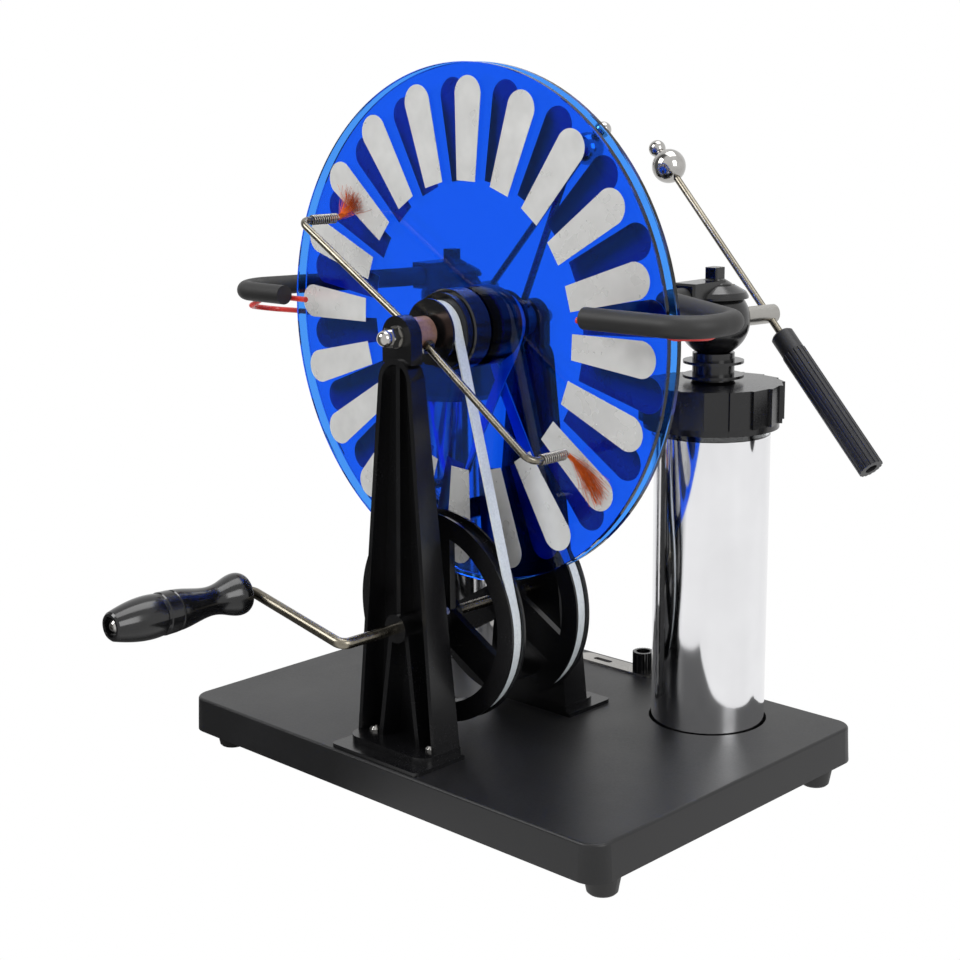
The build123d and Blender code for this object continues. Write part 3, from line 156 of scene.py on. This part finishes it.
def clear(name, code, shade_code, rough, ior, wave_mm, depth_mm):
    """Clear plastic with a slow surface wave; its shadow is only a pale tint."""
    material, tree, surface = blank(name)
    spot = node(tree, "ShaderNodeTexCoord").outputs["Object"]
    wave = node(tree, "ShaderNodeTexNoise", {"Vector": spot, "Scale": 1 / (wave_mm * MM), "Detail": 2.0})
    bump = node(tree, "ShaderNodeBump", {
        "Height": wave.outputs["Fac"], "Distance": depth_mm * MM, "Strength": 1.0})
    tree.links.new(bump.outputs["Normal"], surface.inputs["Normal"])
    set_all(surface, Base_Color=colour(code), Roughness=rough, IOR=ior, Transmission_Weight=1.0)
    shade = node(tree, "ShaderNodeBsdfTransparent", {"Color": colour(shade_code)})
    path_kind = node(tree, "ShaderNodeLightPath")
    lit = node(tree, "ShaderNodeMixShader", {
        0: path_kind.outputs["Is Shadow Ray"], 1: surface.outputs["BSDF"], 2: shade.outputs["BSDF"]})
    tree.links.new(lit.outputs["Shader"], tree.nodes["Material Output"].inputs["Surface"])
    return material


# Materials: most grains are drawn coarser than the real ones, so that they show

# Moulded ABS: near black, satin, with a faint mould grain.
satin_abs = patterned("moulded_abs_satin", ("070708", "111113"), (0.2, 0.3),
                      grain_mm=1.4, depth_mm=0.006, IOR=1.48)
# Styrene moulded in a spark-eroded mould, for the base: a deeper grain that breaks up its sheen.
base_styrene = patterned("textured_styrene_base", ("0c0c0d", "171719"), (0.36, 0.5),
                         grain_mm=1.1, depth_mm=0.03, IOR=1.46)
# Glossy moulded ABS of the hubs, necks and heads: smooth, with long soft highlights.
gloss_abs = patterned("moulded_abs_gloss", ("09090a", "131314"), (0.16, 0.26),
                      grain_mm=3.0, depth_mm=0.01, IOR=1.53)
# Turned and polished phenolic of the grip and the knob: the glossiest black.
turned_phenolic = patterned("turned_phenolic", ("080808", "141416"), (0.12, 0.2),
                            grain_mm=3.0, depth_mm=0.003, IOR=1.52)
# Fluted handles of the electrodes: a paler and duller black from the mould.
handle_abs = patterned("moulded_handle_satin", ("17171a", "252528"), (0.36, 0.5),
                       grain_mm=2.0, depth_mm=0.003, IOR=1.5)
# Moulded rubber of the feet and the forks' sleeves: dull, faintly dusty.
dull_rubber = patterned("moulded_rubber", ("0e0e0e", "1d1c1b"), (0.5, 0.66),
                        grain_mm=0.9, depth_mm=0.02, IOR=1.52)
# Brushed stainless steel: fine level scratches and a broad highlight.
brushed_steel = patterned("brushed_stainless", ("8f8d89", "b9b7b2"), (0.22, 0.36),
                          grain_mm=0.5, depth_mm=0.006, stretch=(1, 1, 12), Metallic=1.0)
# Nickel-plated rod: bright, with a slight yellow-grey cast.
plated_rod = patterned("nickel_plated_rod", ("6c675c", "938d7f"), (0.22, 0.34),
                       grain_mm=2.5, depth_mm=0.001, Metallic=1.0)
# Polished chrome of the balls, nuts and screws: a clean mirror.
polished_chrome = patterned("polished_chrome", ("a3a19e", "c4c2bf"), (0.1, 0.16),
                            grain_mm=6.0, depth_mm=0.002, Metallic=1.0)
# Copper-plated collar: dull brown, so it is made only partly metallic.
aged_copper = patterned("aged_copper_collar", ("8f6a5c", "b48f7d"), (0.28, 0.46),
                        grain_mm=2.0, depth_mm=0.01, Metallic=0.6)
# Fine bare copper strands: orange, bright along each strand.
copper_strand = patterned("bare_copper_strand", ("b8491c", "ec7a38"), (0.25, 0.4),
                          grain_mm=1.5, depth_mm=0.0, Metallic=1.0)
# Drawn spring wire: grey and semi-bright.
spring_wire = patterned("drawn_spring_wire", ("85817a", "b8b4ac"), (0.22, 0.34),
                        grain_mm=2.0, depth_mm=0.001, Metallic=1.0)
# Rolled aluminium foil on the discs: pale, a little dulled and faintly crinkled.
sector_foil = patterned("rolled_aluminium_foil", ("d6d6d4", "e8e8e6"), (0.24, 0.34),
                        grain_mm=12.0, depth_mm=0.2, blotch_mm=60, Metallic=0.4)
# Silvered film round the jar: a mirror with slow waves that run up it.
jar_mirror = patterned("silvered_film", ("e4e4e6", "f6f6f8"), (0.07, 0.12),
                       grain_mm=26, depth_mm=0.28, stretch=(1, 1, 0.12), Metallic=1.0)
# Soft red insulation of the collector leads: a low even gloss.
red_vinyl = patterned("red_vinyl_insulation", ("a3140f", "cf2a1f"), (0.3, 0.42),
                      grain_mm=1.5, depth_mm=0.01, IOR=1.53)
# Pale urethane drive belt: milky, because light spreads a little way inside it.
milky_urethane = patterned("milky_urethane_belt", ("b9c0c4", "dde2e4"), (0.32, 0.45),
                           grain_mm=1.2, depth_mm=0.01, IOR=1.5, Subsurface_Weight=0.25,
                           Subsurface_Radius=(2 * MM, 2 * MM, 2 * MM), Subsurface_Scale=1.0)
# Cast acrylic of the discs, dyed blue: clear and polished, paler where only one disc is seen through.
blue_acrylic = clear("cast_acrylic_blue", "4797f8", "a8c8fb", rough=0.02, ior=1.4,
                     wave_mm=60, depth_mm=0.04)
# Clear styrene of the jar inside its film.
clear_styrene = clear("clear_styrene_jar", "eef2f4", "f4f6f8", rough=0.04, ior=1.58,
                      wave_mm=30, depth_mm=0.05)

# The finish of every CAD node
finish = {
    "base_tray": base_styrene, "rubber_feet": dull_rubber, "axle": brushed_steel,
    "axle_nuts": polished_chrome, "axle_washers": brushed_steel, "axle_spacers": brushed_steel,
    "drive_shaft": plated_rod, "pulley_set_screws": brushed_steel, "grip_screw": polished_chrome,
    "crank_grip": turned_phenolic, "link_stud": brushed_steel, "link_strip": brushed_steel,
    "link_knob": turned_phenolic, "front_belt": milky_urethane, "rear_belt": milky_urethane,
}
for end in ("front", "rear"):
    finish.update({
        f"{end}_upright": satin_abs, f"{end}_upright_screws": polished_chrome, f"{end}_hub": gloss_abs,
        f"{end}_disc": blue_acrylic, f"{end}_sectors": sector_foil, f"{end}_pulley": satin_abs,
        f"{end}_neutralizer_collar": aged_copper, f"{end}_neutralizer_rods": plated_rod,
        f"{end}_neutralizer_springs": spring_wire, f"{end}_brush_a": copper_strand,
        f"{end}_brush_b": copper_strand,
    })
for side in ("left", "right"):
    finish.update({
        f"{side}_jar_cup": clear_styrene, f"{side}_jar_foil": jar_mirror, f"{side}_jar_cap": satin_abs,
        f"{side}_neck": gloss_abs, f"{side}_head": gloss_abs, f"{side}_fork": dull_rubber,
        f"{side}_collector_wire": red_vinyl, f"{side}_electrode_stub": brushed_steel,
        f"{side}_electrode_rod": plated_rod, f"{side}_electrode_balls": polished_chrome,
        f"{side}_electrode_handle": handle_abs,
    })
for name, made in finish.items():
    give(nodes[name], made)


# Brushes and springs of the neutralizers, in mm and degrees, seen from outside each end of the machine
def middle(first, last, axis):
    """Middle between one node's lowest place and another's highest along an axis."""
    return (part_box(first)[0][axis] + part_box(last)[1][axis]) / 2 / MM


DISC_MID = middle("front_disc", "rear_disc", 1)
AXLE = middle("axle", "axle", 2)

# Angle and distance from the axle of each rod's two ends, as the CAD rods have them
ROD_ENDS = {"front": ((148.9, 107.5), (-35.5, 99.5)), "rear": ((114, 105), (294, 105))}
# How each bunch lies: lead angle, length, sideways spread for each mm of length, and curl of a strand
BRUSHES = {
    "front": ((58, 17, 0.32, 0.9), (-52, 31, 0.14, 0.5)),
    "rear": ((205, 20, 0.4, 1.0), (235, 20, 0.35, 0.9)),
}
BRUSH_SEEDS = (11, 18)

# A height is a distance outwards from the middle between the discs.
SPRING_HEIGHT = 14
SPRING_RADIUS = 2.5
SPRING_WIRE_RADIUS = 0.42
SPRING_PITCH = 1.55
SPRING_TURNS = 12
STEPS_PER_TURN = 28

STRANDS = 120
STRAND_RADIUS = 0.085
BUNCH_RADIUS = 1.25
BUNCH_DEPTH_KEPT = 0.8
STRAND_ROOT_HEIGHT = 14.2
STRAND_EXIT_HEIGHT = 12.4
# The foil's face is at 5.7, and the strands lie just over it.
STRAND_LAID_HEIGHT = 6.15
STRAND_DROP = 5.4
STRAND_DROP_POWER = 2.2
STRAND_LIFT = 0.8
STRAND_STACK = 0.25
SHORTEST_STRAND = 0.55
STRAND_SHARES = (0.16, 0.36, 0.58, 0.8, 1.0)

SLEEVE_RADIUS = 1.45
SLEEVE_LENGTH = 6.4
SLEEVE_HEIGHT = 16.5
SLEEVE_BEVEL = 0.2
SMOOTH_ANGLE = math.radians(40)


def side_matrix(end, x, y, out):
    """From a side's own frame (across, up, outwards, in mm) to the model's."""
    turn = Matrix.Rotation(math.radians(0 if end == "front" else 180), 4, "Z")
    tip = Matrix.Rotation(math.radians(90), 4, "X")
    return (Matrix.Translation((0, DISC_MID * MM, 0)) @ turn @ tip
            @ Matrix.Translation((x * MM, y * MM, out * MM)))


def settle(piece, matrix):
    """Puts a piece where the matrix says, with its place in its mesh."""
    bpy.ops.object.select_all(action="DESELECT")
    piece.select_set(True)
    bpy.context.view_layer.objects.active = piece
    piece.matrix_world = matrix
    bpy.ops.object.transform_apply(location=True, rotation=True, scale=True)


def join(pieces, name):
    """Makes the pieces one object of that name."""
    bpy.ops.object.select_all(action="DESELECT")
    for piece in pieces:
        piece.select_set(True)
    bpy.context.view_layer.objects.active = pieces[0]
    bpy.ops.object.join()
    pieces[0].name = name
    return pieces[0]


def coil():
    """Open spring of round wire, wound about the local Z axis and closed at both ends."""
    bpy.ops.object.select_all(action="DESELECT")
    bpy.ops.mesh.primitive_circle_add(vertices=10, radius=SPRING_WIRE_RADIUS * MM,
                                      location=(SPRING_RADIUS * MM, 0, 0),
                                      rotation=(math.radians(90), 0, 0))
    spring = bpy.context.object
    bpy.ops.object.transform_apply(location=True, rotation=True, scale=True)
    wind = spring.modifiers.new("wind", "SCREW")
    wind.screw_offset = SPRING_PITCH * MM
    wind.iterations = SPRING_TURNS
    wind.steps = STEPS_PER_TURN
    wind.render_steps = STEPS_PER_TURN
    wind.use_merge_vertices = False
    bpy.ops.object.modifier_apply(modifier="wind")
    bpy.ops.object.mode_set(mode="EDIT")
    bpy.ops.mesh.select_all(action="SELECT")
    bpy.ops.mesh.normals_make_consistent(inside=False)
    bpy.ops.mesh.select_all(action="DESELECT")
    bpy.ops.mesh.select_non_manifold()
    bpy.ops.mesh.edge_face_add()
    bpy.ops.object.mode_set(mode="OBJECT")
    bpy.ops.object.shade_smooth_by_angle(angle=SMOOTH_ANGLE)
    return spring


def strand_route(chance, ahead, aside, length, spread, curl):
    """One strand, as pairs of a flat place and a height: down out of the sleeve, then laid over ahead."""
    root = math.sqrt(chance.random()) * BUNCH_RADIUS
    turn = chance.random() * math.tau
    u, v = root * math.cos(turn), root * math.sin(turn)
    fan = chance.gauss(0, spread)
    reach = length * chance.uniform(SHORTEST_STRAND, 1.0)
    lift = abs(chance.gauss(0, STRAND_LIFT))
    start = ahead * v + aside * u
    route = [(start, STRAND_ROOT_HEIGHT), (start, STRAND_EXIT_HEIGHT)]
    for share in STRAND_SHARES:
        wander = aside * (fan * share * length + chance.gauss(0, curl) * share)
        forward = ahead * (reach * share + chance.gauss(0, curl) * share
                           + BUNCH_DEPTH_KEPT * v * (1 - share))
        drop = STRAND_DROP * (1 - share) ** STRAND_DROP_POWER
        height = STRAND_LAID_HEIGHT + drop + lift * share + STRAND_STACK * (1 + u)
        route.append((forward + wander + aside * u * (1 - share), height))
    return route


def strands(length, lead, spread, curl, seed):
    """Bare strands, laid over along the lead angle."""
    chance = random.Random(seed)
    ahead = Vector((math.cos(math.radians(lead)), math.sin(math.radians(lead)), 0))
    aside = Vector((-ahead.y, ahead.x, 0))
    bpy.ops.object.select_all(action="DESELECT")
    bpy.ops.curve.primitive_nurbs_path_add(location=(0, 0, 0))
    bunch = bpy.context.object
    bunch.data.splines.clear()
    for _ in range(STRANDS):
        route = strand_route(chance, ahead, aside, length, spread, curl)
        spline = bunch.data.splines.new("NURBS")
        spline.points.add(len(route) - 1)
        for point, (flat, height) in zip(spline.points, route):
            point.co = (flat.x * MM, flat.y * MM, height * MM, 1)
        spline.order_u = 3
        spline.use_endpoint_u = True
        spline.resolution_u = 3
    bunch.data.dimensions = "3D"
    bunch.data.bevel_depth = STRAND_RADIUS * MM
    bunch.data.bevel_resolution = 0
    bunch.data.use_fill_caps = True
    bpy.ops.object.convert(target="MESH")
    bpy.ops.object.shade_smooth()
    return bpy.context.object


def crimped_sleeve():
    """Short sleeve that holds the strands at the rod's end."""
    bpy.ops.object.select_all(action="DESELECT")
    bpy.ops.mesh.primitive_cylinder_add(vertices=24, radius=SLEEVE_RADIUS * MM, depth=SLEEVE_LENGTH * MM,
                                        location=(0, 0, SLEEVE_HEIGHT * MM))
    sleeve = bpy.context.object
    bpy.ops.object.transform_apply(location=True, rotation=True, scale=True)
    bpy.ops.object.mode_set(mode="EDIT")
    bpy.ops.mesh.select_all(action="SELECT")
    bpy.ops.mesh.bevel(offset=SLEEVE_BEVEL * MM, segments=2)
    bpy.ops.object.mode_set(mode="OBJECT")
    bpy.ops.object.shade_smooth_by_angle(angle=SMOOTH_ANGLE)
    return sleeve


def stand_in(piece, material, end, node_name):
    """A new piece of that end's neutralizer, in place of a CAD node."""
    give(piece, material)
    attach(piece, f"{end}_neutralizer")
    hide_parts(node_name)


for end in ("front", "rear"):
    coils = []
    for letter, (angle, reach), (lead, length, spread, curl), seed in zip(
            "ab", ROD_ENDS[end], BRUSHES[end], BRUSH_SEEDS):
        x = reach * math.cos(math.radians(angle))
        y = AXLE + reach * math.sin(math.radians(angle))
        spring = coil()
        settle(spring, side_matrix(end, x, y, SPRING_HEIGHT))
        coils.append(spring)
        bunch = join([strands(length, lead, spread, curl, seed), crimped_sleeve()],
                     f"{end}_tinsel_{letter}")
        settle(bunch, side_matrix(end, x, y, 0))
        stand_in(bunch, copper_strand, end, f"{end}_brush_{letter}")
    wound = join(coils, f"{end}_wound_springs")
    stand_in(wound, spring_wire, end, f"{end}_neutralizer_springs")

# Stage: a pale studio, in metres and watts
WHITE = (1, 1, 1, 1)
# The room is white in reflections, but dark towards this heading, so that the discs don't go grey.
DARK_HEADING = (-0.73, -0.68, 0)
DARK_FROM, DARK_TO = 0.72, 0.93
BRIGHT_ROOM, DARK_ROOM = 0.95, 0.14
FILL_STRENGTH = 0.55
FLOOR_SIZE = 24


def surround(tree, heading):
    """Brightness of the room in reflections, from how nearly a heading is the dark one."""
    flat = node(tree, "ShaderNodeVectorMath", {0: heading, 1: (1, 1, 0)}, operation="MULTIPLY")
    flat = node(tree, "ShaderNodeVectorMath", {0: flat.outputs["Vector"]}, operation="NORMALIZE")
    facing = node(tree, "ShaderNodeVectorMath", {0: flat.outputs["Vector"], 1: DARK_HEADING},
                  operation="DOT_PRODUCT")
    return node(tree, "ShaderNodeMapRange", {
        "Value": facing.outputs["Value"], "From Min": DARK_FROM, "From Max": DARK_TO,
        "To Min": BRIGHT_ROOM, "To Max": DARK_ROOM}).outputs["Result"]


def by_ray(tree, lighting, reflected, seen):
    """Three shaders in one: for light on the object, for reflections and for what the camera sees."""
    path_kind = node(tree, "ShaderNodeLightPath")
    direct = node(tree, "ShaderNodeMath", {
        0: path_kind.outputs["Is Camera Ray"], 1: path_kind.outputs["Is Transmission Ray"]},
        operation="MAXIMUM")
    first = node(tree, "ShaderNodeMixShader", {
        0: path_kind.outputs["Is Glossy Ray"], 1: lighting.outputs[0], 2: reflected.outputs[0]})
    second = node(tree, "ShaderNodeMixShader", {
        0: direct.outputs[0], 1: first.outputs[0], 2: seen.outputs[0]})
    return second.outputs[0]


def softbox(name, place, aim, size, power):
    """Rectangular lamp that faces a point."""
    bpy.ops.object.select_all(action="DESELECT")
    bpy.ops.object.light_add(type="AREA", location=place)
    lamp = bpy.context.object
    lamp.name = name
    lamp.data.shape = "RECTANGLE"
    lamp.data.size, lamp.data.size_y = size
    lamp.data.energy = power
    lamp.rotation_euler = (Vector(aim) - Vector(place)).to_track_quat("-Z", "Y").to_euler()


# Floor: matt paper under the object, plain white to the camera, so that no shadow shows on it
bpy.ops.object.select_all(action="DESELECT")
bpy.ops.mesh.primitive_plane_add(size=FLOOR_SIZE, location=(0, 0, cad_box[0][2]))
floor = bpy.context.object
floor.name = "studio_floor"
paper = bpy.data.materials.new("seamless_paper")
paper.use_nodes = True
tree = paper.node_tree
tree.nodes.clear()
spot = node(tree, "ShaderNodeTexCoord").outputs["Object"]
matt = node(tree, "ShaderNodeBsdfDiffuse", {"Color": colour("f4f4f4")})
room = node(tree, "ShaderNodeEmission", {"Color": WHITE, "Strength": surround(tree, spot)})
white = node(tree, "ShaderNodeEmission", {"Color": WHITE, "Strength": 1.0})
node(tree, "ShaderNodeOutputMaterial", {"Surface": by_ray(tree, matt, room, white)})
give(floor, paper)

# Lamps: a soft key from the camera's left, one from its right and one overhead
softbox("key_softbox", place=(-0.9, -1.5, 1.5), aim=(0, 0, 0.15), size=(1.0, 1.0), power=26)
softbox("side_softbox", place=(1.9, -0.2, 1.0), aim=(0, 0, 0.2), size=(0.8, 1.2), power=14)
softbox("top_softbox", place=(0.1, 0.4, 2.0), aim=(0, 0, 0.1), size=(1.2, 1.2), power=16)

# World: an even fill, plain white to the camera
world = bpy.data.worlds.new("studio_surround")
bpy.context.scene.world = world
world.use_nodes = True
tree = world.node_tree
tree.nodes.clear()
direction = node(tree, "ShaderNodeTexCoord").outputs["Generated"]
fill = node(tree, "ShaderNodeBackground", {"Color": WHITE, "Strength": FILL_STRENGTH})
room = node(tree, "ShaderNodeBackground", {"Color": WHITE, "Strength": surround(tree, direction)})
white = node(tree, "ShaderNodeBackground", {"Color": WHITE, "Strength": 1.0})
node(tree, "ShaderNodeOutputWorld", {"Surface": by_ray(tree, fill, room, white)})
